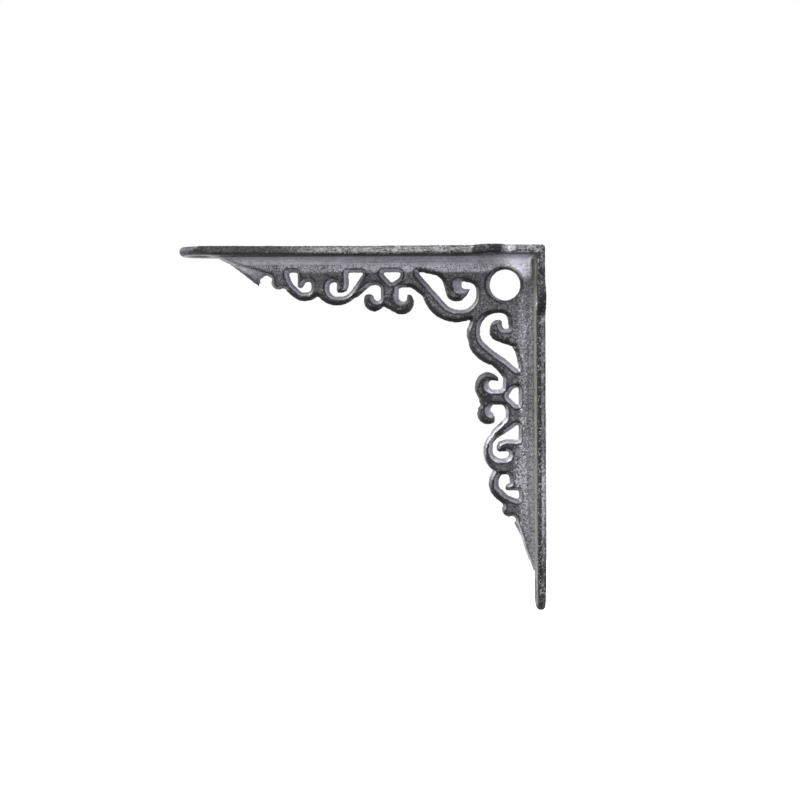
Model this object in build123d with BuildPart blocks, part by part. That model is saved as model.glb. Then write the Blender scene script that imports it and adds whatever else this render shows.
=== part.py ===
"""Cast-iron shelf bracket: two screw-on arms braced by a pierced scrollwork web.

The origin is the outer corner, where the wall face (x = 0) and the shelf face
(z = 0) meet, in the middle of the bracket's width.  The shelf arm runs along -X
and the wall arm along -Z, and the web between them lies in the plane y = 0,
which is also the parting plane of the casting.  Sizes are in millimetres.
"""
import os
from math import atan2, degrees

from build123d import *

# Arms: flat cast strips with rounded tips
arm_length = 150.0
flange_width = 20.0
flange_thickness = 3.6
tip_corner_radius = 8.0
flange_edge_bevel = 0.7
# Screw ears near the corner and a screw hole near each tip
ear_setback = 22.2
ear_pitch = 18.0
ear_radius = 6.4
ear_blend_radius = 4.0
screw_hole_diameter = 4.8
countersink_diameter = 8.8
countersink_angle = 90
tip_hole_setback = 8.0
# Web between the arms
web_thickness = 5.0
web_setback = 16.0
root_cove_radius = 3.6
corner_hole_radius = 6.2
corner_hole_lean = 0.9
corner_hole_setback = 15.8
# Thin cast leaf that ends the web towards each tip
leaf_thickness = 2.4

# The scrolls are drawn on a web 134 long, and grow or shrink with the arms.  Their walls
# lean in from the parting plane to the face so that the casting leaves its mould
web_length = arm_length - web_setback
scroll_scale = web_length / 134
scroll_lean = 0.91 * scroll_scale
opening_lean = 1.3 * scroll_scale
leaf_lean = 1.0 * scroll_scale
EAR_PLACES = ((-ear_setback, ear_pitch / 2), (-ear_setback, -ear_pitch / 2))
TIP_HOLE_PLACE = (tip_hole_setback - arm_length, 0)
DIAGONAL = Plane(origin=(0, 0, 0), z_dir=(1, 0, -1))

# Outlines at the parting plane, as corners (u, v, corner radius): u runs from the
# outer corner along an arm, v is the depth below that arm's outer face
WEB_BODY = ((0, 0, 0), (134.0, 0, 0), (134.0, 4.6, 0), (124.8, 8.2, 0), (113.7, 11.6, 0), (107.6, 16.4, 0),
            (104.6, 19.5, 0), (99.0, 19.0, 0), (92.5, 18.0, 0), (85.0, 19.0, 0), (77.2, 21.0, 0),
            (71.2, 15.8, 3.0), (67.2, 15.8, 2.0), (67.2, 24.0, 0), (61.7, 26.9, 0),
            (59.6, 22.0, 0), (59.6, 16.9, 2.2), (54.9, 16.6, 3.0), (49.0, 21.1, 0), (40.0, 24.0, 0),
            (30.0, 27.0, 0), (24.0, 26.0, 0), (0, 6.0, 0))
# Round backs of the scrolls, the knob beside the leaf and the two curls: (u, v, radius)
SCROLL_BACKS = ((35.8, 16.7, 14.6), (85.2, 14.4, 9.8), (98.4, 14.8, 7.5), (109.4, 14.4, 3.0),
                (58.5, 22.9, 5.1), (69.9, 22.2, 4.4))
S_OPENING = ((52.0, 10.1, 0), (28.1, 15.5, 3.0), (27.2, 25.9, 6.5), (38.2, 25.9, 8.5))
WEDGE_OPENING = ((66.5, 10.4, 0), (58.9, 10.4, 0), (59.6, 12.6, 0), (62.6, 14.6, 0))
HEART_OPENING = ((74.2, 10.5, 0), (81.0, 20.1, 5.0), (88.4, 20.3, 3.2), (88.1, 14.6, 1.8), (85.0, 14.6, 0),
                 (82.0, 10.5, 0))
C_OPENING = ((105.1, 10.4, 0), (103.6, 14.8, 3.0), (100.0, 18.4, 1.8), (95.9, 18.3, 1.6), (96.0, 14.5, 0),
             (99.0, 14.5, 0), (101.8, 10.4, 0))
INNER_EYE = ((59.6, 17.0, 0), (59.6, 22.6, 1.5), (56.7, 22.2, 0), (56.3, 19.5, 0), (53.2, 19.5, 0),
             (53.2, 17.5, 0))
OUTER_EYE = ((67.2, 16.8, 0), (67.2, 22.2, 1.2), (69.4, 21.9, 0), (70.6, 19.3, 0), (74.4, 19.3, 0),
             (72.4, 17.4, 0))
S_HOOK = ((47.0, 9.6, 0), (41.7, 13.7, 4.5), (39.8, 21.0, 2.4), (35.8, 23.6, 3.4),
          (29.9, 17.5, 0), (33.8, 17.2, 1.0), (33.6, 12.0, 0))
HEART_HOOK = ((80.6, 9.0, 0), (80.2, 15.6, 0), (81.4, 18.6, 1.6), (85.6, 19.0, 1.2), (85.2, 13.0, 0),
              (85.8, 9.0, 0))
C_HOOK = ((101.6, 9.0, 0), (101.5, 16.8, 1.3), (99.2, 16.8, 1.1), (98.1, 14.0, 0), (93.5, 9.0, 0))
SHELF_LEAF = ((134.0, 1.0, 0), (134.0, 4.7, 0), (129.6, 6.8, 0), (117.3, 16.4, 0), (116.7, 13.0, 1.0),
              (114.6, 11.6, 1.0), (112.0, 12.6, 0), (112.0, 5.0, 0))
COVE_RUN = ((0, 0, 0), (134.0, 0, 0), (134.0, 3.9, 0), (124.5, 7.4, 0), (113.0, 11.6, 0), (0, 11.6, 0))
WALL_LEAF = ((134.0, 1.0, 0), (134.0, 4.0, 0), (128.8, 5.2, 0), (115.0, 12.6, 0), (113.2, 11.4, 0),
             (112.0, 5.0, 0))


def web_place(u, v):
    """Place (u, v) of the shelf arm's web in the local x and y of Plane.XZ."""
    return (-u * scroll_scale, -v * scroll_scale)


def outline(corners):
    """Face on the web plane inside a polygon, with the given corners rounded."""
    with BuildSketch(Plane.XZ) as face:
        with BuildLine():
            Polyline(*[web_place(u, v) for u, v, radius in corners], close=True)
        make_face()
        for u, v, radius in corners:
            if radius:
                corner = face.vertices().sort_by_distance(Vector(*web_place(u, v)))[0]
                fillet(corner, radius * scroll_scale)
    return face.sketch


def disc(place, radius):
    """Round face on the web plane."""
    with BuildSketch(Plane.XZ) as face:
        with Locations(place):
            Circle(radius)
    return face.sketch


def raise_from_parting(face, height=web_thickness / 2, lean=scroll_lean):
    """Add a form that is widest at the parting plane and draws in by the lean to its face."""
    extrude(face, amount=height, taper=degrees(atan2(lean, height)))


def pierce(face, lean):
    """Cut an opening that is narrowest at the parting plane and widens by the lean to the face."""
    height = web_thickness / 2
    extrude(face, amount=height, taper=-degrees(atan2(lean, height)), mode=Mode.SUBTRACT)


# Near half of the scrollwork under the shelf arm
with BuildPart() as arm_scrolls:
    raise_from_parting(outline(WEB_BODY))
    for u, v, radius in SCROLL_BACKS:
        raise_from_parting(disc(web_place(u, v), radius * scroll_scale))
    for opening in (S_OPENING, WEDGE_OPENING, HEART_OPENING, C_OPENING, INNER_EYE, OUTER_EYE):
        pierce(outline(opening), opening_lean)
    for hook in (S_HOOK, HEART_HOOK, C_HOOK):
        raise_from_parting(outline(hook))

# Leaf at the end of each arm's web
with BuildPart() as shelf_leaf:
    raise_from_parting(outline(SHELF_LEAF), leaf_thickness / 2, leaf_lean)
with BuildPart() as wall_leaf:
    raise_from_parting(outline(WALL_LEAF), leaf_thickness / 2, leaf_lean)
    mirror(about=DIAGONAL, mode=Mode.REPLACE)

# Whole web: both arms' scrolls, the leaves and the round corner hole
with BuildPart() as web:
    add(arm_scrolls.part)
    mirror(about=DIAGONAL)
    add(shelf_leaf.part)
    add(wall_leaf.part)
    pierce(disc((-corner_hole_setback, -corner_hole_setback), corner_hole_radius), corner_hole_lean)
    mirror(about=Plane.XZ)

# Shelf arm's flange, lying under the shelf face, with its ears and countersunk holes
with BuildPart() as flange:
    with BuildSketch() as plan:
        with Locations((-arm_length / 2, 0)):
            Rectangle(arm_length, flange_width)
        fillet(plan.vertices().group_by(Axis.X)[0], tip_corner_radius)
        with Locations(*EAR_PLACES):
            Circle(ear_radius)
        necks = plan.vertices().filter_by(lambda v: abs(v.X + ear_setback) < 2 * ear_radius)
        fillet(necks, ear_blend_radius)
    extrude(amount=-flange_thickness)
    inner_face = flange.faces().sort_by(Axis.Z)[0]
    chamfer(inner_face.edges().filter_by(lambda edge: edge.center().X < 0), flange_edge_bevel)
    with Locations(Plane(origin=(0, 0, -flange_thickness), x_dir=(1, 0, 0), z_dir=(0, 0, -1))):
        with Locations(*EAR_PLACES, TIP_HOLE_PLACE):
            CounterSinkHole(screw_hole_diameter / 2, countersink_diameter / 2,
                            counter_sink_angle=countersink_angle)

# Cove that blends the web into the shelf arm's flange and runs out along the leaf
cove_reach = web_thickness / 2 + root_cove_radius
cove_foot = -flange_thickness - root_cove_radius
with BuildPart() as cove:
    with BuildSketch(Plane.YZ):
        with BuildLine():
            CenterArc((cove_reach, cove_foot), root_cove_radius, 90, 90)
            CenterArc((-cove_reach, cove_foot), root_cove_radius, 0, 90)
            Line((web_thickness / 2, cove_foot), (-web_thickness / 2, cove_foot))
            Polyline((-cove_reach, -flange_thickness), (-cove_reach, -flange_thickness / 2),
                     (cove_reach, -flange_thickness / 2), (cove_reach, -flange_thickness))
        make_face()
    extrude(amount=-web_length)
    extrude(outline(COVE_RUN), amount=cove_reach, both=True, mode=Mode.INTERSECT)

with BuildPart() as bracket:
    add(flange.part)
    add(cove.part)
    mirror(about=DIAGONAL)
    add(web.part)

bracket.part.label = "bracket"
os.makedirs("parts", exist_ok=True)
export_step(bracket.part, "parts/bracket.step")
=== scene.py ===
"""Cast-iron shelf bracket: a sand-cast skin over the solid, its iron finish with painted light and
shade, and a pale studio.
"""
import math
from types import SimpleNamespace

import bpy
import numpy as np
from bpy.props import FloatProperty, FloatVectorProperty, IntProperty, PointerProperty
from mathutils import Matrix, Vector, kdtree, noise


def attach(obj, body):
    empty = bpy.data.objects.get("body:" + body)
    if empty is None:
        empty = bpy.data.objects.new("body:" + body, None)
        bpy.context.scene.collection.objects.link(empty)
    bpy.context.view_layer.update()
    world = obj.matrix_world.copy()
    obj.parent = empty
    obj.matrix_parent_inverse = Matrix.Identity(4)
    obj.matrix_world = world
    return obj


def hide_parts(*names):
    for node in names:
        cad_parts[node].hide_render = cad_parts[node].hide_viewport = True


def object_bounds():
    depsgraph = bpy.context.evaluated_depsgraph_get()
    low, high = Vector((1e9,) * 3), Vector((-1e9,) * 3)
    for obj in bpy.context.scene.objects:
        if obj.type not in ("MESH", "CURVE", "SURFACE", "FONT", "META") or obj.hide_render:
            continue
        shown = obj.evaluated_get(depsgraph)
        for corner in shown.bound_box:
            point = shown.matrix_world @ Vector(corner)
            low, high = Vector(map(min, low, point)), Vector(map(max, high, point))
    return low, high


bl_info = {
    "name": "Cast Shelf Bracket",
    "version": (1, 0, 0),
    "blender": (4, 5, 0),
    "location": "3D View > Sidebar > Bracket",
    "description": "Casts a scrollwork shelf bracket in rough iron and sets it in a pale studio",
    "category": "Object",
}

NODE = "bracket"
BODY = "root"
SKIN = "cast_iron_bracket"
MM = 0.001

# The web's half thickness, the share of it that is left at an outline, and the depth below an
# arm's outer face where the web begins
WEB_HALF = 2.5 * MM
OUTLINE_SHARE = 0.1
WEB_TOP = 7.6 * MM
# The flange's thickness and half width, the radius of its corners at the tips, and the least
# half thickness that wear leaves there
FLANGE_THICKNESS = 3.6 * MM
FLANGE_HALF = 10 * MM
TIP_CORNER_RADIUS = 8 * MM
WORN_HALF = 0.35 * MM
# How far off the web, the middle plane or a flange a point may lie and still count as in it
WEB_SLACK = 0.3 * MM
FLANGE_SLACK = 0.2 * MM
# Distance from the outline within which a point is on it, and the one given to points off the web
ON_OUTLINE = 1e-7
OFF_WEB = 1.0
# Middle of the round corner hole from each arm's outer face, and where its wall ends
HOLE_SETBACK = 15.8 * MM
HOLE_WALL = (8.2 * MM, 9.2 * MM)
# Distance within which points of the solid are welded
WELD = 0.001 * MM
# Height of a crest that counts as 1, and the passes that give the broad form below it
CREST_HEIGHT = 0.25 * MM
BROAD_PASSES = 8
# Passes that soften the border of a change
BORDER_PASSES = 3
# Lengths of the slow waves left by the mould
LONG_WAVE = 14 * MM
SHORT_WAVE = 5 * MM
# How far apart two seeds of the noise lie
SEED_STRIDES = (7.3, 3.1, 5.7)
# Value of a point that lies on no sloping wall
OFF_WALL = 3
# Keeps a division by a length from failing
TINY = 1e-9
# How far the streaks along an arm are drawn out: the share of their length that is left
STREAK_STRETCH = 0.22

# The places below are in millimetres: along the arm from the corner, and depth from its outer face

# Hollow eyes of the curls: (along, depth, radius of the hole, radius at the face)
SHELF_EYES = ((34.7, 16.3, 0.9, 3.7), (58.9, 21.0, 1.3, 3.9), (68.7, 20.9, 1.2, 3.1),
              (87.0, 16.0, 1.0, 3.4), (97.2, 15.5, 0.9, 3.2))
WALL_EYES = ((58.0, 21.3, 1.2, 3.2), *SHELF_EYES[2:])
# Heads of the curls: (along, depth, side of the eye that the head lies on)
CURL_HEADS = ((58.9, 21.0, -1), (68.7, 20.9, 1))
# The wall arm's first hook. Its end is rounded to HOOK_RADIUS about HOOK_END, and swells by
# HOOK_SWELL on the side towards the arm, past HOOK_START and between the two HOOK_DEPTHS
HOOK_END = (33.0, 19.05)
HOOK_RADIUS = 2.4
HOOK_SWELL = 0.28
HOOK_START = 28.9
HOOK_DEPTHS = (16.2, 21.4)
# Middle of the hook's head, painted dark as shade, the outer side that the hook is trimmed to, how
# far past that side the trim reaches, and the share of what stands past it that the trim leaves
HOOK_HEAD = (36.5, 18.3)
HOOK_SIDE = ((32.9, 21.45), (35.0, 21.6), (37.0, 21.3), (38.8, 20.0), (40.1, 17.9), (41.3, 15.6),
             (42.3, 12.0))
HOOK_TRIM = 2.2
HOOK_TRIM_LEFT = 0.05
# Where the scrolls were drawn aside: (along, depth, reach, shift along, shift in depth)
SHELF_PULLS = ((33.3, 20.4, 3.6, -0.5, 0.4),)
WALL_PULLS = (
    (33.2, 19.3, 2.9, -1.0, 0.7), (33.6, 15.0, 3.4, 0.9, 0.0), (35.5, 30.0, 4.0, 0.0, 0.5),
    (55.3, 19.3, 2.6, 0.2, -1.0), (57.5, 23.5, 6.5, 0.0, -0.8), (66.2, 24.8, 3.0, 0.0, 0.6),
    (67.6, 18.3, 3.5, -1.0, 0.0), (68.6, 21.4, 2.6, -0.5, -1.1), (95.7, 16.0, 3.0, -0.9, 0.0),
    (98.4, 21.7, 6.0, 0.0, -0.3), (99.6, 15.6, 2.6, -0.3, -1.0))

# The studio: the floor's half side and how far it lies below the bracket, and the key lamp's
# size, place and aim
FLOOR_SIDE = 6.0
FLOOR_DROP = 0.55
KEY_SIZE = 0.10
KEY_PLACE = (-0.55, -0.28, 0.42)
KEY_AIM = (-0.06, 0, -0.06)
# How far right of and above the bracket's middle the camera looks, and its sensor's width in mm
VIEW_RIGHT = 15.85 * MM
VIEW_UP = 11.57 * MM
SENSOR_WIDTH = 36

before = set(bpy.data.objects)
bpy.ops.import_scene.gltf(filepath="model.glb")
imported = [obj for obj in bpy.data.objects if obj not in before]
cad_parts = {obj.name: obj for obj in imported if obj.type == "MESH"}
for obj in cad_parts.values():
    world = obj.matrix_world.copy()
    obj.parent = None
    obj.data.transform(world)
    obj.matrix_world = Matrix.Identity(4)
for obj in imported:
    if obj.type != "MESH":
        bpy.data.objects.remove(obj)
solid_low, solid_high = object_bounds()
arm_length = solid_high.x - solid_low.x


# Settings

class BracketCasting(bpy.types.PropertyGroup):
    """Sizes of the cast skin"""
    skin_step: FloatProperty(
        name="Skin step", description="Spacing of the points of the skin",
        default=0.52 * MM, min=0.3 * MM, unit="LENGTH", precision=5)
    softening: IntProperty(
        name="Softening", description="Passes that round the arrises of the casting",
        default=4, min=0)
    scroll_easing: IntProperty(
        name="Scroll easing", description="Passes that round the scrolls' outlines",
        default=12, min=0)
    corner_rounding: FloatProperty(
        name="Corner rounding", description="Radius worn on the outer corner where the arms meet",
        default=1.2 * MM, min=0, unit="LENGTH", precision=5)
    tip_rounding: FloatProperty(
        name="Tip rounding", description="Radius worn on the arrises round the arms' tips",
        default=1.6 * MM, min=0, unit="LENGTH", precision=5)
    arm_sag: FloatProperty(
        name="Arm sag", description="How far the middle of the shelf arm has sunk in cooling",
        default=0.25 * MM, min=0, unit="LENGTH", precision=5)
    scroll_shift: FloatProperty(
        name="Scroll shift", description="How far the wall arm's scrolls sit nearer to the corner",
        default=0.75 * MM, unit="LENGTH", precision=5)
    rim_shift: FloatProperty(
        name="Rim shift", description="How far the wall arm's scroll rims stand out",
        default=1.0 * MM, unit="LENGTH", precision=5)
    wall_run: FloatProperty(
        name="Wall run", description="Width of the sloping walls at the scrolls' edges",
        default=1.25 * MM, min=0.5 * MM, unit="LENGTH", precision=5)
    deep_side_run: FloatProperty(
        name="Deep side run", description="Width added to the walls that look right and up",
        default=1.0 * MM, min=0, unit="LENGTH", precision=5)
    waviness: FloatProperty(
        name="Waviness", description="Height of the slow waves left by the mould",
        default=0.10 * MM, min=0, unit="LENGTH", precision=5)
    sand_height: FloatProperty(
        name="Sand height", description="Height of the sand grain on the skin",
        default=0.10 * MM, min=0, unit="LENGTH", precision=5)
    sand_size: FloatProperty(
        name="Sand size", description="Size of the lumps that the sand leaves",
        default=1.1 * MM, min=0.2 * MM, unit="LENGTH", precision=5)


class BracketFinish(bpy.types.PropertyGroup):
    """Colours and gloss of the iron, with the colours of its painted shade, glints and highlight
    """
    iron: FloatVectorProperty(
        name="Iron", description="Colour of the iron skin",
        default=(0.13, 0.128, 0.147), size=3, min=0, max=1, subtype="COLOR")
    edge_iron: FloatVectorProperty(
        name="Edge iron", description="Colour of the iron along the shelf arm's edge",
        default=(0.128, 0.128, 0.134), size=3, min=0, max=1, subtype="COLOR")
    # Colour of the dark pits, and of the painted shade in the creases, under the edges, on the
    # shaded walls and on the heads
    pits_and_shade: FloatVectorProperty(
        name="Recess", description="Colour of the pits and inner corners",
        default=(0.010, 0.010, 0.012), size=3, min=0, max=1, subtype="COLOR")
    # Colour of the painted glints on the grain
    bright: FloatVectorProperty(
        name="Bright iron", description="Colour of rubbed arrises and bare specks",
        default=(0.42, 0.42, 0.45), size=3, min=0, max=1, subtype="COLOR")
    # Colour of the pale line of painted highlight along the wall arm's inner face
    scale: FloatVectorProperty(
        name="Scale", description="Colour of the pale scale along the wall arm's inner face",
        default=(0.29, 0.29, 0.25), size=3, min=0, max=1, subtype="COLOR")
    metal: FloatProperty(
        name="Metal", description="How metallic the skin is",
        default=0.55, min=0, max=1, subtype="FACTOR")
    roughness: FloatProperty(
        name="Roughness", description="Roughness of the skin between its grains",
        default=0.48, min=0, max=1, subtype="FACTOR")


class BracketStudio(bpy.types.PropertyGroup):
    """Camera and light"""
    distance: FloatProperty(
        name="Camera distance", description="From the camera to the middle plane of the bracket",
        default=0.7, min=0.1, unit="LENGTH")
    lens: FloatProperty(
        name="Lens", description="Focal length in millimetres", default=76.2, min=10)
    roll: FloatProperty(
        name="Roll", description="Turn of the camera about its own axis",
        default=math.radians(0.25), unit="ROTATION")
    front_light: FloatProperty(
        name="Front light", description="Strength of the dim light from every side",
        default=1.3, min=0)
    right_light: FloatProperty(
        name="Right light", description="Strength added from the right", default=2.3, min=0)
    left_light: FloatProperty(
        name="Left light", description="Strength added from the left", default=0.75, min=0)
    top_light: FloatProperty(
        name="Top light", description="Strength added from above", default=2.0, min=0)
    key_power: FloatProperty(
        name="Key light", description="Power of the small light that picks out the grain",
        default=7.0, min=0, unit="POWER")


# Shader graphs

class Value:
    """A node's output that takes part in Python expressions by adding Math nodes."""

    def __init__(self, graph, socket):
        self.graph = graph
        self.socket = socket

    def _math(self, operation, *values):
        return self.graph.add("ShaderNodeMath", {"operation": operation},
                              dict(enumerate(values)))["Value"]

    def __add__(self, other):
        return self._math("ADD", self, other)

    __radd__ = __add__

    def __sub__(self, other):
        return self._math("SUBTRACT", self, other)

    def __rsub__(self, other):
        return self._math("SUBTRACT", other, self)

    def __mul__(self, other):
        return self._math("MULTIPLY", self, other)

    __rmul__ = __mul__

    def __pow__(self, other):
        return self._math("POWER", self, other)

    def __neg__(self):
        return self._math("MULTIPLY", self, -1.0)

    def size(self):
        """The value without its sign."""
        return self._math("ABSOLUTE", self)

    def low(self, *others):
        """The lowest of the values."""
        result = self
        for other in others:
            result = self._math("MINIMUM", result, other)
        return result

    def high(self, *others):
        """The highest of the values."""
        result = self
        for other in others:
            result = self._math("MAXIMUM", result, other)
        return result

    def step(self, start, end):
        """0 before start, 1 after end, and smooth between."""
        return self.graph.add("ShaderNodeMapRange", {"interpolation_type": "SMOOTHSTEP"},
                              {"Value": self, "From Min": start, "From Max": end})["Result"]

    def fall(self, start, end):
        """1 before start, 0 after end, and smooth between."""
        return 1 - self.step(start, end)

    def band(self, start, end, soft):
        """1 between start and end, with soft sides."""
        return self.step(start - soft, start + soft) * self.fall(end - soft, end + soft)


class Graph:
    """Builds a node tree, one node at a time."""

    def __init__(self, tree):
        self.tree = tree
        tree.nodes.clear()

    def add(self, kind, settings=None, sockets=None):
        """A node of this kind, with its settings made first and its sockets set or linked."""
        node = self.tree.nodes.new(kind)
        for name, value in (settings or {}).items():
            setattr(node, name, value)
        for key, value in (sockets or {}).items():
            entry = node.inputs[key]
            if isinstance(value, Value):
                self.tree.links.new(value.socket, entry)
            elif entry.type == "RGBA":
                entry.default_value = (*value, 1.0)
            else:
                entry.default_value = value
        return {out.name: Value(self, out) for out in node.outputs if out.enabled}

    def field(self, name):
        """A number that the mesh keeps for each of its points."""
        return self.add("ShaderNodeAttribute", {"attribute_name": name})["Fac"]

    def mix(self, factor, first, second):
        """Colour between first and second."""
        return self.add("ShaderNodeMix", {"data_type": "RGBA"},
                        {0: factor, 6: first, 7: second})["Result"]

    def vector(self, operation, first, second):
        """Vector made from two others, or from one and a number to scale it by."""
        other = "Scale" if operation == "SCALE" else 1
        return self.add("ShaderNodeVectorMath", {"operation": operation},
                        {0: first, other: second})["Vector"]

    def noise(self, place, size, detail=2.0, roughness=0.5, offset=(0, 0, 0)):
        """Noise whose lumps are about size across."""
        return self.add("ShaderNodeTexNoise", {}, {
            "Vector": self.vector("ADD", place, offset), "Scale": 1.0 / size,
            "Detail": detail, "Roughness": roughness})["Fac"]


# Cast skin

class Links:
    """Which points of a mesh are joined by its edges."""

    def __init__(self, edges, count):
        self.first, self.second = edges.T
        self.degree = np.bincount(edges.ravel(), minlength=count).astype(float)

    def mean(self, values):
        """Mean of the values of each point's neighbours."""
        columns = values.reshape(len(values), -1)
        total = np.empty_like(columns)
        for column in range(columns.shape[1]):
            total[:, column] = (
                np.bincount(self.first, columns[self.second, column], len(columns))
                + np.bincount(self.second, columns[self.first, column], len(columns)))
        return (total / self.degree[:, None]).reshape(values.shape)


def soften(points, links, passes, pull=0.5, push=-0.52):
    """Rounds arrises without shrinking the form."""
    for _ in range(passes):
        points = points + pull * (links.mean(points) - points)
        points = points + push * (links.mean(points) - points)
    return points


def lumps(points, size, seed):
    """Smooth noise at each point, mostly from -1 to 1."""
    offset = Vector([seed * stride for stride in SEED_STRIDES])
    return np.array([noise.noise(Vector(p) / size + offset) for p in points])


def fade(value, start, end):
    """0 before start, 1 after end, and smooth between."""
    t = np.clip((value - start) / (end - start), 0, 1)
    return t * t * (3 - 2 * t)


def hump(value, start, full, falling, end):
    """0 before start, 1 from full to falling, 0 after end, and smooth between."""
    return fade(value, start, full) * (1 - fade(value, falling, end))


def skin_from_solid(step):
    """Mesh of even small faces over the solid."""
    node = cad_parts[NODE]
    rough = bpy.data.objects.new("rough_skin", node.data.copy())
    bpy.context.scene.collection.objects.link(rough)
    weld = rough.modifiers.new("weld", "WELD")
    weld.merge_threshold = WELD
    remesh = rough.modifiers.new("skin", "REMESH")
    remesh.mode = "VOXEL"
    remesh.voxel_size = step
    graph = bpy.context.evaluated_depsgraph_get()
    mesh = bpy.data.meshes.new_from_object(rough.evaluated_get(graph))
    bpy.data.objects.remove(rough)
    return mesh


def read_points(mesh):
    """Places of a mesh's points, and the links between them."""
    points = np.empty(len(mesh.vertices) * 3)
    mesh.vertices.foreach_get("co", points)
    edges = np.empty(len(mesh.edges) * 2, np.int64)
    mesh.edges.foreach_get("vertices", edges)
    return points.reshape(-1, 3), Links(edges.reshape(-1, 2), len(mesh.vertices))


def read_normals(mesh):
    """Normals of a mesh's points."""
    normals = np.empty(len(mesh.vertices) * 3)
    mesh.vertex_normals.foreach_get("vector", normals)
    return normals.reshape(-1, 3)


def write_points(mesh, points):
    """Puts the points back into the mesh."""
    mesh.vertices.foreach_set("co", points.ravel())
    mesh.update()


def write_field(mesh, name, values):
    """Keeps one number for each point, for the finish to read."""
    field = mesh.attributes.new(name, "FLOAT", "POINT")
    field.data.foreach_set("value", values.astype(np.float32))


def from_corner(points):
    """Millimetres from the outer corner: along the shelf arm, and down the wall arm."""
    return -points[:, 0] / MM, -points[:, 2] / MM


def round_corner(points, radius):
    """Wears the outer corner to a radius."""
    x, z = points[:, 0], points[:, 2]
    inside = (x > -radius) & (z > -radius)
    away = np.hypot(x + radius, z + radius)
    beyond = inside & (away > radius)
    scale = np.where(beyond, radius / np.maximum(away, TINY), 1.0)
    points[:, 0] = np.where(beyond, -radius + (x + radius) * scale, x)
    points[:, 2] = np.where(beyond, -radius + (z + radius) * scale, z)
    return points


def round_tips(points, plan_radius, wear):
    """Wears the arrises round both tips of the flanges."""
    x, y, z = -points[:, 0], np.abs(points[:, 1]), -points[:, 2]
    along, depth = np.maximum(x, z), np.minimum(x, z)
    past_y = np.maximum(y - (FLANGE_HALF - plan_radius), 0)
    past_run = np.maximum(along - (arm_length - plan_radius), 0)
    from_end = np.where(past_run > 0, plan_radius - np.hypot(past_y, past_run), plan_radius)
    lost = wear - np.sqrt(np.maximum(wear ** 2 - np.clip(wear - from_end, 0, wear) ** 2, 0))
    middle = FLANGE_THICKNESS / 2
    room = np.maximum(middle - lost, WORN_HALF)
    worn = (from_end < wear) & (depth < FLANGE_THICKNESS + FLANGE_SLACK)
    change = np.where(worn, np.clip(depth, middle - room, middle + room) - depth, 0)
    on_shelf_arm = x > z
    points[:, 2] -= np.where(on_shelf_arm, change, 0)
    points[:, 0] -= np.where(on_shelf_arm, 0, change)
    return points


def bend(points, sizes):
    """Sinks the shelf arm's strip a little and draws the wall arm's scrolls up and out."""
    x, z = from_corner(points)
    on_shelf_strip = fade(x - z, 4, 16) * (1 - fade(z, 3, 9))
    middle = np.sin(np.pi * np.clip(x * MM / arm_length, 0, 1)) ** 2
    on_wall_web = fade(z - x, 4, 16) * fade(x, 5, 10)
    # The upper curl stands higher than the shelf arm's, and the rims of the scrolls stand out
    curl_top = hump(z, 50.5, 53, 53, 60) * fade(x, 17.5, 20)
    rims = hump(z, 26, 40, 104, 112) * fade(x, 15, 21)
    lift = hump(z, 20, 32, 115, 135) * (sizes.scroll_shift + sizes.rim_shift * curl_top)
    points[:, 2] -= sizes.arm_sag * middle * on_shelf_strip
    points[:, 2] += on_wall_web * lift
    points[:, 0] -= on_wall_web * sizes.rim_shift * rims
    return points


def blunt_hook(points):
    """Rounds the end of the wall arm's first hook into a curl and trims its outer side."""
    depth, along = from_corner(points)
    end_along, end_depth = HOOK_END
    near = (along > HOOK_START) & (depth > HOOK_DEPTHS[0]) & (depth < HOOK_DEPTHS[1])
    swell = 1 + HOOK_SWELL * (1 - fade(along, 33, 35)) * (near & (depth < end_depth))
    depth = end_depth + (depth - end_depth) * swell
    away = np.hypot(along - end_along, depth - end_depth)
    beyond = near & (along < end_along) & (away > HOOK_RADIUS)
    pull = np.where(beyond, HOOK_RADIUS / np.maximum(away, TINY), 1.0)
    along = end_along + (along - end_along) * pull
    depth = end_depth + (depth - end_depth) * pull

    side_along, side_depth = np.transpose(HOOK_SIDE)
    side = np.interp(along, side_along, side_depth)
    beside = (along > side_along[0]) & (along < side_along[-1]) & (depth < side + HOOK_TRIM)
    depth = np.where(beside & (depth > side), side + HOOK_TRIM_LEFT * (depth - side), depth)
    points[:, 0], points[:, 2] = -depth * MM, -along * MM
    return points


def pull_scrolls(points, web):
    """Draws parts of the scrolls aside, as each arm's pattern was carved by hand."""
    x, z = from_corner(points)
    for pulls, u, v, u_axis, v_axis in ((SHELF_PULLS, x, z, 0, 2), (WALL_PULLS, z, x, 2, 0)):
        for along, depth, reach, shift_along, shift_deep in pulls:
            away = np.hypot(u - along, v - depth)
            weight = MM * (web & (u > v)) * (1 - fade(away, 0.4 * reach, reach))
            points[:, u_axis] -= weight * shift_along
            points[:, v_axis] -= weight * shift_deep
    return points


def in_web(points):
    """True where a point belongs to the web and not to a flange."""
    depth = np.minimum(-points[:, 0], -points[:, 2])
    return (depth > WEB_TOP) & (np.abs(points[:, 1]) < WEB_HALF + WEB_SLACK)


def distance_to_outline(points, web):
    """Distance of each web point from the web's outline, and the way in from the outline."""
    on_outline = np.flatnonzero(web & (np.abs(points[:, 1]) < WEB_SLACK))
    tree = kdtree.KDTree(len(on_outline))
    for index in on_outline:
        tree.insert((points[index, 0], 0, points[index, 2]), index)
    tree.balance()
    away = np.full(len(points), OFF_WEB)
    inward = np.zeros((len(points), 2))
    for index in np.flatnonzero(web):
        x, z = points[index, 0], points[index, 2]
        spot, _, distance = tree.find((x, 0, z))
        away[index] = distance
        if distance > ON_OUTLINE:
            inward[index] = ((x - spot.x) / distance, (z - spot.z) / distance)
    return away, inward


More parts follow.
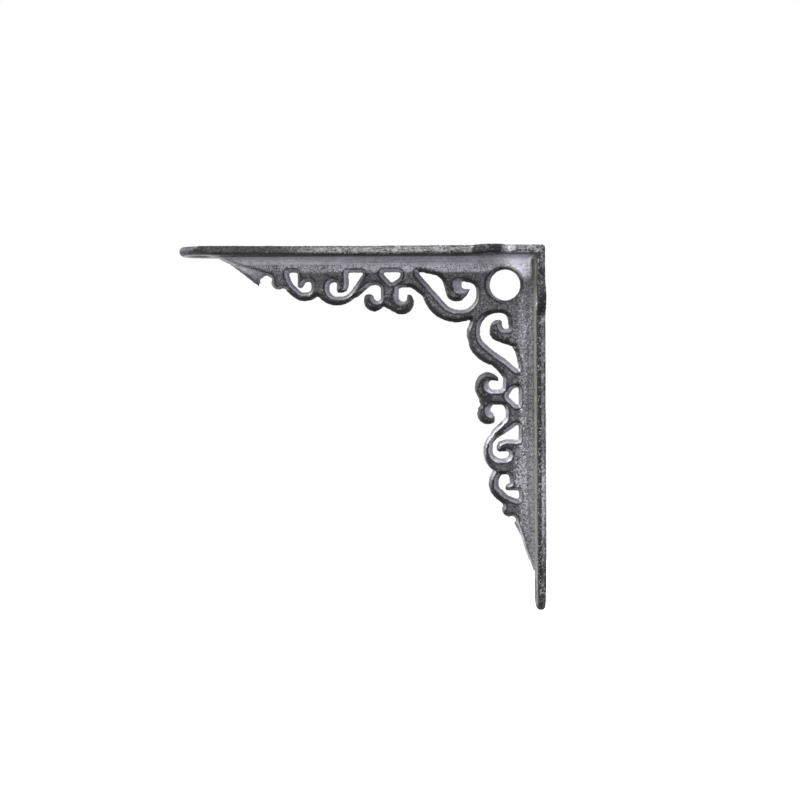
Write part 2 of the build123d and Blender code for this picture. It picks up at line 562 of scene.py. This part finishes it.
def ease_scrolls(points, web, links, passes):
    """Rounds the scrolls' outlines in the plane of the web, and leaves their thickness."""
    flat = points[:, [0, 2]].copy()
    eased = soften(flat, links, passes)
    keep = web.astype(float)
    for _ in range(BORDER_PASSES):
        keep = np.minimum(keep, links.mean(keep))
    points[:, [0, 2]] += (eased - flat) * keep[:, None]
    return points


def in_hole_wall(points):
    """1 in the wall of the round corner hole, and 0 outside it."""
    away = np.hypot(points[:, 0] + HOLE_SETBACK, points[:, 2] + HOLE_SETBACK)
    return 1 - fade(away, *HOLE_WALL)


def web_height(share):
    """Half thickness of the web at a share of the way up a wall."""
    return WEB_HALF * (OUTLINE_SHARE + (1 - OUTLINE_SHARE) * share)


def slope_walls(points, web, away, sides, links, sizes):
    """Widens the sloping walls of the scrolls and hollows the eyes of their curls.

    Gives the points, and for each how far up its wall it is: 0 at the outline, 1 at the top.
    """
    hole = in_hole_wall(points)
    deep = np.clip(sides["right"] + 0.7 * sides["up"] * (1 - hole), 0, 1)
    # The round hole's wall is steeper
    steep = 1 - (0.38 - 0.25 * sides["right"]) * hole
    part = away / ((sizes.wall_run + sizes.deep_side_run * deep) * steep)
    height = web_height(1 - (1 - np.clip(part, 0, 1)) ** 1.5)
    x, z = from_corner(points)
    for u, v, eyes in ((x, z, SHELF_EYES), (z, x, WALL_EYES)):
        for eye_u, eye_v, small, wide in eyes:
            reach = (np.hypot(u - eye_u, v - eye_v) - small) / (wide - small)
            bowl = np.minimum(height, web_height(np.clip(reach, 0, 1)))
            height = np.where(reach < 1, bowl, height)
            part = np.where(reach < 1, np.minimum(part, reach), part)
    cut = np.where(web, np.maximum(np.abs(points[:, 1]) - height, 0), 0)
    for _ in range(BORDER_PASSES):
        cut = 0.5 * cut + 0.5 * links.mean(cut) * web
    points[:, 1] -= np.sign(points[:, 1]) * cut
    return points, np.where(web, np.clip(part, 0, OFF_WALL), OFF_WALL)


def wall_light(points, web, sides):
    """How each sloping wall takes the light, painted on it: 1 where it is painted bright, below 0
    in painted shade.
    """
    x, z = from_corner(points)
    # The upper walls of the openings catch some light, but for the shelf arm's long S, whose
    # lobe alone does
    lobe = 0.6 * hump(x, 26, 29, 36, 38)
    shelf_openings = np.maximum(lobe, fade(x, 54, 58)) * (1 - fade(z, 17.2, 18.6))
    wall_openings = fade(z, 56, 60) * (1 - fade(x, 15, 17))
    openings = np.where(x > z, shelf_openings, wall_openings)
    # The round hole's wall lies in shade but for its left side
    hole = in_hole_wall(points)
    light = (sides["right"] + (0.6 - 1.1 * hole) * sides["up"]
             - (1.6 - 1.7 * openings) * sides["down"] - (0.35 + 0.5 * hole) * sides["left"])
    return np.where(web, light, 0)


def shaded_heads(points, web, light):
    """1 on the heads of the hook and the curls, which are painted dark as shade."""
    x, z = from_corner(points)
    along, depth = HOOK_HEAD
    hook = 1 - fade(np.hypot(z - along, x - depth), 4.4, 6.4)
    # The hook's head is painted in shade where its wall takes no light
    heads = hook * (1 - np.clip(2 * light, 0, 1))
    for u, v in ((x, z), (z, x)):
        for eye_u, eye_v, side in CURL_HEADS:
            ring = hump(np.hypot(u - eye_u, v - eye_v), 2.2, 3.2, 6.2, 7.2)
            below = fade(v, eye_v - 1.5, eye_v)
            beside = fade(side * (u - eye_u), 1, 2) * fade(v, eye_v - 4.2, eye_v - 3.7)
            heads = np.maximum(heads, ring * np.maximum(below, beside))
    return np.where(web, heads, 0)


def cast_skin(sizes):
    """Mesh of the bracket as it left the mould."""
    mesh = skin_from_solid(sizes.skin_step)
    points, links = read_points(mesh)
    points = soften(points, links, sizes.softening)
    web = in_web(points)
    points = ease_scrolls(points, web, links, sizes.scroll_easing)
    points = pull_scrolls(blunt_hook(points), web)
    away, inward = distance_to_outline(points, web)
    sides = {"right": np.clip(-inward[:, 0], 0, 1), "left": np.clip(inward[:, 0], 0, 1),
             "up": np.clip(-inward[:, 1], 0, 1), "down": np.clip(inward[:, 1], 0, 1)}
    points, wall_part = slope_walls(points, web, away, sides, links, sizes)
    light = wall_light(points, web, sides)
    heads = shaded_heads(points, web, light)
    points = round_corner(points, sizes.corner_rounding)
    points = round_tips(points, TIP_CORNER_RADIUS, sizes.tip_rounding)
    points = bend(points, sizes)
    write_points(mesh, points)

    normals = read_normals(mesh)
    broad = points
    for _ in range(BROAD_PASSES):
        broad = links.mean(broad)
    crest = np.einsum("ij,ij->i", points - broad, normals)

    sand = lumps(points, sizes.sand_size, 1) + 0.6 * lumps(points, sizes.sand_size * 0.5, 2)
    waves = lumps(points, LONG_WAVE, 3) + 0.5 * lumps(points, SHORT_WAVE, 4)
    out = sizes.sand_height * sand + sizes.waviness * waves
    points = points + normals * out[:, None]
    write_points(mesh, np.clip(points, np.array(solid_low), np.array(solid_high)))

    write_field(mesh, "crest", crest / CREST_HEIGHT)
    write_field(mesh, "sand", sand)
    write_field(mesh, "wall_part", wall_part)
    write_field(mesh, "light", np.clip(light, -1, 1))
    write_field(mesh, "heads", heads)
    for face in mesh.polygons:
        face.use_smooth = True
    return mesh


# Iron finish, with painted light and shade

def grains(g, place):
    """Noises of the iron's surface and the pits of its sand grain, each from 0 to 1."""
    along_shelf = g.vector("MULTIPLY", place, (STREAK_STRETCH, 1.0, 1.0))
    along_wall = g.vector("MULTIPLY", place, (1.0, 1.0, STREAK_STRETCH))
    grain = SimpleNamespace(
        fine=g.noise(place, 0.6 * MM, 2.0, 0.7),
        mottle=g.noise(place, 1.6 * MM, 3.0, 0.6, (5.0, 2.0, 9.0)),
        cloud=g.noise(place, 11 * MM, 2.0, 0.5, (1.0, 8.0, 3.0)),
        specks=g.noise(place, 0.75 * MM, 1.0, 0.5, (3.1, 1.7, 0.4)),
        shelf_streaks=g.noise(along_shelf, 0.9 * MM, 3.0, 0.65),
        wall_streaks=g.noise(along_wall, 0.9 * MM, 3.0, 0.65))
    grain.pits = ((0.54 - grain.fine) * 2.0 + (0.5 - grain.mottle) * 1.6
                  - g.field("sand") * 0.2).step(0.0, 0.9)
    return grain


def web_zones(g, zone):
    """The web, its thin leaf, the walls of its scrolls and the rims above them."""
    across, depth, run = zone.across, zone.depth, zone.run
    wall_part, light = g.field("wall_part"), g.field("light")
    zone.web = across.fall(2.3, 3.2) * depth.step(7.2, 8.2)
    zone.leaf = across.fall(1.6, 2.2) * run.step(110, 114) * depth.step(4.5, 5.5)
    thick_web = zone.web * (1 - zone.leaf)
    zone.wall = thick_web * wall_part.fall(0.72, 0.92)
    zone.shaded_wall = thick_web * wall_part.fall(0.8, 1.25) * (-light).step(0.1, 0.7)
    # Painted highlight on the walls that face the light, and painted light on the wall arm's
    # middle scrolls
    zone.rubbed_wall = zone.wall * light.high(0.0)
    zone.bright_scrolls = zone.wall_arm * run.band(47, 92, 3)
    zone.rim = thick_web * wall_part.band(0.97, 1.22, 0.08)
    zone.scrolls = zone.web * depth.step(9.4, 11.4)
    zone.heads = g.field("heads")


def cove_zones(zone):
    """The coves, the web's plain strip, a patch of painted highlight on the wall arm's web and the
    pocket in the corner.
    """
    across, depth, run = zone.across, zone.depth, zone.run
    zone.cove = across.fall(6, 6.6) * depth.band(3.6, 7.4, 0.6)
    zone.shelf_cove = zone.cove * zone.shelf_arm
    zone.wall_cove = zone.cove * zone.wall_arm
    # Painted highlight on the shelf arm's cove near the corner
    zone.near_cove = zone.shelf_cove * run.fall(15, 23)
    zone.low_cove = zone.shelf_cove * depth.step(4.8, 6.6)
    zone.strip = across.fall(2.6, 3.4) * depth.band(6.9, 10.4, 0.7) * run.band(20, 130, 8)
    # A patch of painted highlight on the wall arm's web
    sanded_run = (run + zone.ragged).band(85, 104, 2.5)
    sanded_depth = (depth + zone.ragged * 0.3).band(5.8, 12.2, 1.2)
    zone.sanded = zone.web * zone.wall_arm * sanded_run * sanded_depth
    # The pocket in the inner corner, which takes a painted highlight
    away = (((zone.wall_depth - 9) * 0.8) ** 2 + (zone.shelf_depth - 7) ** 2) ** 0.5
    inside = zone.wall_depth.step(4.6, 6.2) * zone.shelf_depth.step(3.4, 4.4)
    zone.pocket = across.fall(6, 8) * away.fall(2.5, 8) * inside


def flange_zones(zone):
    """The flanges' outer faces, edges and tips, and the ears with the painted highlights beside
    them.
    """
    across, depth, run = zone.across, zone.depth, zone.run
    zone.outer = across.fall(9.0, 9.6) * depth.fall(0.6, 2.0)
    zone.edge = across.step(9.4, 9.9)
    zone.shelf_edge = zone.edge * zone.shelf_arm
    zone.wall_edge = zone.edge * zone.wall_arm
    zone.shelf_tip = zone.shelf_arm * run.step(131, 139)
    zone.under_tip = zone.shelf_tip * depth.step(2.7, 3.1)
    tip_run = (run - zone.wall_arm * 5).step(136, 141)
    zone.tips = tip_run * depth.fall(3.2, 3.9) * (1 - zone.outer) * (1 - zone.under_tip)
    ear_run = run + zone.ragged + zone.wall_arm * 2
    zone.ears = zone.edge * ear_run.band(17.5, 30, 1).high(
        zone.wall_arm * ear_run.band(11.5, 18, 1))
    # Painted highlights on the fillets beside the ears
    zone.beside_ears = zone.edge * (ear_run.band(12.5, 16.6, 0.7) * zone.shelf_arm
                                    + ear_run.band(31, 34, 0.6) * zone.wall_arm)


def line_zones(zone):
    """Painted shadow lines below the edges, under the shelf and in the corner, the outer arris's
    dark line, and painted highlights below the corner's line and inside.
    """
    across, depth, run = zone.across, zone.depth, zone.run
    off_tip = 1 - zone.shelf_tip
    # Painted shadow line below the flanges' edges
    edge_depth = (depth + zone.wall_arm * 1.6).band(3.4, 5.5, 0.2)
    zone.edge_line = across.step(8.9, 9.4) * edge_depth * off_tip
    # Painted contact shadow under the shelf arm's flange
    under_depth = depth.band(3.3, 4.2, 0.25)
    zone.under_line = zone.shelf_arm * across.fall(8.9, 9.4) * under_depth * off_tip
    zone.outer_line = zone.wall_edge * depth.fall(0.3, 1.0)
    zone.corner_edge = zone.shelf_edge * run.band(4, 14.5, 1.2)
    # Painted shadow line along the shelf arm's edge at the corner
    corner_depth = depth - run.step(11, 16) * 1.2
    zone.corner_line = zone.corner_edge * corner_depth.band(1.8, 2.7, 0.25)
    # Painted highlight on the corner's edge below its shadow line
    zone.below_corner_line = zone.corner_edge * corner_depth.step(2.6, 3.1)
    # Line of painted highlight along the wall arm's inner face
    inner_depth = zone.wall_depth.band(3.3, 4.2, 0.25)
    zone.inner_line = zone.wall_arm * across.fall(8.0, 8.8) * across.step(3.2, 4.0) * inner_depth
    # The painted shadow lines fade towards the corner
    zone.line_strength = 0.1 + run.step(20, 34) * 0.9


def zones(g, place, grain):
    """Parts of the casting, each 1 inside and 0 outside, from lengths in millimetres.

    run is the place along an arm from the corner, depth is from the arm's outer face, and across
    is from the middle plane. ragged shifts a border to and fro.
    """
    axes = g.add("ShaderNodeSeparateXYZ", {}, {"Vector": g.vector("SCALE", place, 1 / MM)})
    zone = SimpleNamespace(
        shelf_depth=-axes["Z"], wall_depth=-axes["X"], across=axes["Y"].size(),
        ragged=(grain.mottle - 0.5) * 5)
    zone.depth = zone.shelf_depth.low(zone.wall_depth)
    zone.run = zone.shelf_depth.high(zone.wall_depth)
    zone.shelf_arm = (zone.wall_depth - zone.shelf_depth).step(-1, 1)
    zone.wall_arm = 1 - zone.shelf_arm
    zone.far_run = zone.shelf_arm * zone.run.step(75, 95)
    zone.far_edge = zone.shelf_arm * zone.run.step(85, 112)
    web_zones(g, zone)
    cove_zones(zone)
    flange_zones(zone)
    line_zones(zone)
    # Smooth places have less grain
    zone.rough = 1 - (zone.shelf_cove * 0.75).high(
        zone.wall * 0.75, zone.leaf * 0.5, zone.pocket * 0.6)
    return zone


def scale_and_painted_shade(g, grain, zone):
    """How far the iron darkens: scale in its pits, dark arrises, rims, ears and tips, and painted
    shade in creases, below edges, at the corner, on shaded walls and heads.
    """
    crest = g.field("crest")
    arris = crest.step(0.25, 0.9) * (1 - zone.wall)
    # Painted shade in the concave creases
    crease_shade = (-crest).step(0.15, 0.8) * (1 - zone.depth.band(3, 10, 1))
    # The painted shadow line below the wall arm's edge doesn't fade
    edge_line_strength = zone.shelf_arm * (zone.line_strength - 1) + 1
    # Dark pits of the grain, and the painted shade in the creases
    pits_and_crease_shade = (grain.pits * 0.8).high(crease_shade * 0.5) * zone.rough
    return (pits_and_crease_shade * (1 - zone.below_corner_line * 0.8)).high(
        arris * 0.6 * (1 - zone.below_corner_line),
        zone.rim * 0.9,
        zone.heads * 0.8,
        # Painted shadow lines at the corner, below the edges and under the shelf
        zone.shaded_wall * 0.9,
        zone.corner_line * 0.7,
        zone.edge_line * edge_line_strength * 0.9,
        zone.under_line * zone.line_strength * 0.75,
        zone.outer_line * 0.6,
        zone.ears * 0.94,
        zone.tips * (0.66 + grain.pits * 0.32))


def painted_glints(grain, zone):
    """Bright specks painted on the grain as glints of light."""
    specks = (grain.specks + (grain.cloud - 0.5) * 0.35 + zone.sanded * 0.06).step(0.55, 0.68)
    amount = 0.3 + zone.strip * 0.7 + zone.sanded + zone.edge * (0.3 - zone.far_edge * 0.5)
    covered = (1 - zone.shelf_cove) * (1 - zone.rim) * (1 - zone.wall) * (1 - zone.ears * 0.6)
    return specks * amount.low(1.0) * covered


def iron_tone(grain, zone):
    """How much lighter or darker than plain iron each place is, in its tone and in painted light
    and shade: 1 where it is the same.
    """
    streaks = grain.shelf_streaks * zone.shelf_arm + grain.wall_streaks * zone.wall_arm
    streak_depth = zone.edge * (2.6 + zone.shelf_arm * 1.8 - zone.far_edge * 2.4)
    grit_depth = (1 - zone.edge * zone.far_edge * 0.5 + zone.sanded * 0.9) * 3.0 * zone.rough
    shade = ((grain.cloud - 0.5) * 0.6 + (grain.mottle - 0.5) * 0.8
             + (streaks - 0.5) * streak_depth + (grain.fine - 0.5) * grit_depth
             + (grain.shelf_streaks - 0.5) * zone.web * 1.5 * zone.rough)
    lifts = (
        # Painted light on the web's strip below the cove, strongest on the shelf arm, less towards
        # its far end
        (zone.strip, 0.2 + zone.shelf_arm * 1.25 - zone.far_run * 0.95),
        # Painted light on the sloping walls, and a painted highlight where they face the light
        (zone.wall, 0.3 + zone.bright_scrolls * 0.9),
        (zone.rubbed_wall, 0.6 + zone.bright_scrolls * 0.1),
        (zone.scrolls * (1 - zone.wall), -0.54),
        # Painted light from below on the shelf arm's cove, less on its lower part
        (zone.shelf_cove, 1.7 + zone.far_run * 0.35),
        (zone.low_cove, zone.far_run * 0.5 - 1.3),
        # Painted highlight on the shelf arm's cove near the corner
        (zone.near_cove, 0.9),
        (zone.wall_cove, zone.run.step(70, 95) * 0.3 - 0.34),
        # Painted highlight in the corner's pocket
        (zone.pocket, 4.2 - zone.shelf_cove * 1.9),
        # Painted highlight on the wall arm's web
        (zone.sanded, 0.6),
        (zone.leaf, 1.3),
        (zone.outer, -0.55),
        # Painted highlights beside the ears
        (zone.beside_ears, 1.0),
        # Painted reflections along the edges: the shelf arm's edge lighter but for its far end,
        # the wall arm's with a highlight from 92 to 118 mm and darker towards its tip
        (zone.shelf_edge, 0.34 - zone.far_edge * 1.05),
        (zone.wall_edge, zone.run.band(92, 118, 6) * 0.9 - 0.18 - zone.run.step(118, 134) * 0.5),
        # Painted highlight on the edge at the corner
        (zone.corner_edge, 0.25),
        (zone.below_corner_line, 0.4),
        # Painted light from below on the underside of the shelf arm's tip, and a painted highlight
        # on its end
        (zone.under_tip, 0.9),
        (zone.shelf_tip * zone.run.step(146, 148), 0.3))
    return (1 + shade * 1.1) * sum((mask * amount for mask, amount in lifts), 1)


def iron_and_painted_light(finish):
    """Material of rough grey cast iron, with painted light, shade, highlights and glints in its
    colour.
    """
    material = bpy.data.materials.new("rough_cast_iron")
    material.use_nodes = True
    g = Graph(material.node_tree)
    place = g.add("ShaderNodeTexCoord")["Object"]
    grain = grains(g, place)
    zone = zones(g, place, grain)
    dark, glint = scale_and_painted_shade(g, grain, zone), painted_glints(grain, zone)

    colour = g.mix(zone.shelf_edge * 0.9, finish.iron[:], finish.edge_iron[:])
    colour = g.vector("SCALE", colour, iron_tone(grain, zone))
    # Darkens the colour with the pits' scale and with painted shade
    colour = g.mix(dark, colour, finish.pits_and_shade[:])
    # Painted glints on the grain
    colour = g.mix(glint * 0.75, colour, finish.bright[:])
    # The pale line of painted highlight along the wall arm's inner face
    pale_highlight_line = zone.inner_line * (0.9 - grain.pits * 0.5) * (
        (grain.wall_streaks * 2.2 - 0.2).low(1.0) * (1 - zone.run.step(112, 136) * 0.75))
    colour = g.mix(pale_highlight_line, colour, finish.scale[:])

    gloss = (finish.roughness + dark * 0.2 + (grain.fine - 0.5) * 0.25 - glint * 0.1
             - zone.cove * 0.05)
    height = (grain.fine * 0.5 + grain.mottle * 0.8) * zone.rough
    bump = g.add("ShaderNodeBump", {}, {"Strength": 1.0, "Distance": 0.3 * MM, "Height": height})
    surface = g.add("ShaderNodeBsdfPrincipled", {}, {
        "Base Color": colour, "Roughness": gloss, "Metallic": finish.metal,
        "Specular IOR Level": 0.3, "Normal": bump["Normal"]})["BSDF"]
    g.add("ShaderNodeOutputMaterial", {}, {"Surface": surface})
    return material


# Operators

class BRACKET_OT_cast(bpy.types.Operator):
    """Casts the bracket in rough iron over its solid"""
    bl_idname = "bracket.cast"
    bl_label = "Cast the Bracket"

    def execute(self, context):
        scene = context.scene
        piece = bpy.data.objects.new(SKIN, cast_skin(scene.bracket_casting))
        scene.collection.objects.link(piece)
        piece.data.materials.clear()
        piece.data.materials.append(iron_and_painted_light(scene.bracket_finish))
        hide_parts(NODE)
        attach(piece, BODY)
        return {"FINISHED"}


class BRACKET_OT_studio(bpy.types.Operator):
    """Sets the pale floor, the soft light and the camera"""
    bl_idname = "bracket.studio"
    bl_label = "Set the Studio"

    def execute(self, context):
        studio = context.scene.bracket_studio
        self.floor(context.scene)
        self.surroundings(context.scene, studio)
        self.key(context.scene, studio)
        self.camera(context.scene, studio)
        context.scene.view_settings.view_transform = "Standard"
        return {"FINISHED"}

    def floor(self, scene):
        mesh = bpy.data.meshes.new("floor")
        side, height = FLOOR_SIDE, solid_low.z - FLOOR_DROP
        mesh.from_pydata([(-side, -side, height), (side, -side, height), (side, side, height),
                          (-side, side, height)], [], [(0, 1, 2, 3)])
        floor = bpy.data.objects.new("floor", mesh)
        scene.collection.objects.link(floor)
        paint = bpy.data.materials.new("pale_floor")
        paint.use_nodes = True
        g = Graph(paint.node_tree)
        surface = g.add("ShaderNodeBsdfPrincipled", {}, {
            "Base Color": (0.9, 0.9, 0.9), "Roughness": 0.9,
            "Emission Color": (1.0, 1.0, 1.0), "Emission Strength": 0.9})["BSDF"]
        g.add("ShaderNodeOutputMaterial", {}, {"Surface": surface})
        mesh.materials.append(paint)
        floor.visible_diffuse = False
        floor.visible_glossy = False

    def surroundings(self, scene, studio):
        world = bpy.data.worlds.new("pale_tent")
        world.use_nodes = True
        scene.world = world
        g = Graph(world.node_tree)
        way = g.add("ShaderNodeTexCoord")["Generated"]
        axes = g.add("ShaderNodeSeparateXYZ", {}, {"Vector": way})
        beside = axes["Y"].size().fall(0.05, 0.6)
        right = axes["X"].high(0.0) * beside
        left = (-axes["X"]).high(0.0) * beside * axes["Z"].step(0.0, 0.5)
        up = axes["Z"].high(0.0) * beside
        down = (-axes["Z"]).step(0.5, 0.95)
        tint = g.mix(axes["X"].step(-0.5, 0.5), (1.0, 0.99, 0.91), (0.95, 0.935, 1.0))
        strength = (studio.front_light + right * studio.right_light + left * studio.left_light
                    + up * studio.top_light) * (1 - down * 0.9)
        soft = g.add("ShaderNodeBackground", {}, {"Color": tint, "Strength": strength})
        seen = g.add("ShaderNodeBackground", {}, {"Color": (1.0, 1.0, 1.0), "Strength": 1.0})
        camera_ray = g.add("ShaderNodeLightPath")["Is Camera Ray"]
        both = g.add("ShaderNodeMixShader", {}, {
            0: camera_ray, 1: soft["Background"], 2: seen["Background"]})["Shader"]
        g.add("ShaderNodeOutputWorld", {}, {"Surface": both})

    def key(self, scene, studio):
        lamp = bpy.data.lights.new("key", "AREA")
        lamp.size = KEY_SIZE
        lamp.energy = studio.key_power
        key = bpy.data.objects.new("key", lamp)
        key.location = KEY_PLACE
        aim = Vector(KEY_AIM) - key.location
        key.rotation_euler = aim.to_track_quat("-Z", "Y").to_euler()
        key.visible_camera = False
        scene.collection.objects.link(key)

    def camera(self, scene, studio):
        lens = bpy.data.cameras.new("camera")
        lens.lens = studio.lens
        lens.sensor_width = SENSOR_WIDTH
        camera = bpy.data.objects.new("camera", lens)
        middle = (solid_low + solid_high) / 2
        camera.location = (middle.x + VIEW_RIGHT, -studio.distance, middle.z + VIEW_UP)
        # The camera turns about the bracket's outer corner
        corner = Vector((-camera.location.x, -camera.location.z))
        turned = Matrix.Rotation(-studio.roll, 2) @ corner
        camera.location.x -= turned.x - corner.x
        camera.location.z -= turned.y - corner.y
        camera.rotation_euler = (math.radians(90), studio.roll, 0)
        scene.collection.objects.link(camera)
        scene.camera = camera


class BRACKET_PT_panel(bpy.types.Panel):
    """Lists the bracket's settings and steps"""
    bl_idname = "BRACKET_PT_panel"
    bl_label = "Cast Shelf Bracket"
    bl_space_type = "VIEW_3D"
    bl_region_type = "UI"
    bl_category = "Bracket"

    def draw(self, context):
        for name, label in SETTINGS:
            box = self.layout.box()
            box.label(text=label)
            group = getattr(context.scene, name)
            for key in group.bl_rna.properties.keys():
                if key not in {"rna_type", "name"}:
                    box.prop(group, key)
        for step in STEPS:
            self.layout.operator(step.bl_idname)


GROUPS = {"bracket_casting": BracketCasting, "bracket_finish": BracketFinish,
          "bracket_studio": BracketStudio}
SETTINGS = (("bracket_casting", "Casting"), ("bracket_finish", "Finish"),
            ("bracket_studio", "Studio"))
STEPS = (BRACKET_OT_cast, BRACKET_OT_studio)
CLASSES = (*GROUPS.values(), *STEPS, BRACKET_PT_panel)


def register():
    for kind in CLASSES:
        bpy.utils.register_class(kind)
    for name, group in GROUPS.items():
        setattr(bpy.types.Scene, name, PointerProperty(type=group))


def unregister():
    for name in GROUPS:
        delattr(bpy.types.Scene, name)
    for kind in reversed(CLASSES):
        bpy.utils.unregister_class(kind)


def main():
    register()
    bpy.ops.bracket.cast()
    bpy.ops.bracket.studio()


if __name__ == "__main__":
    main()
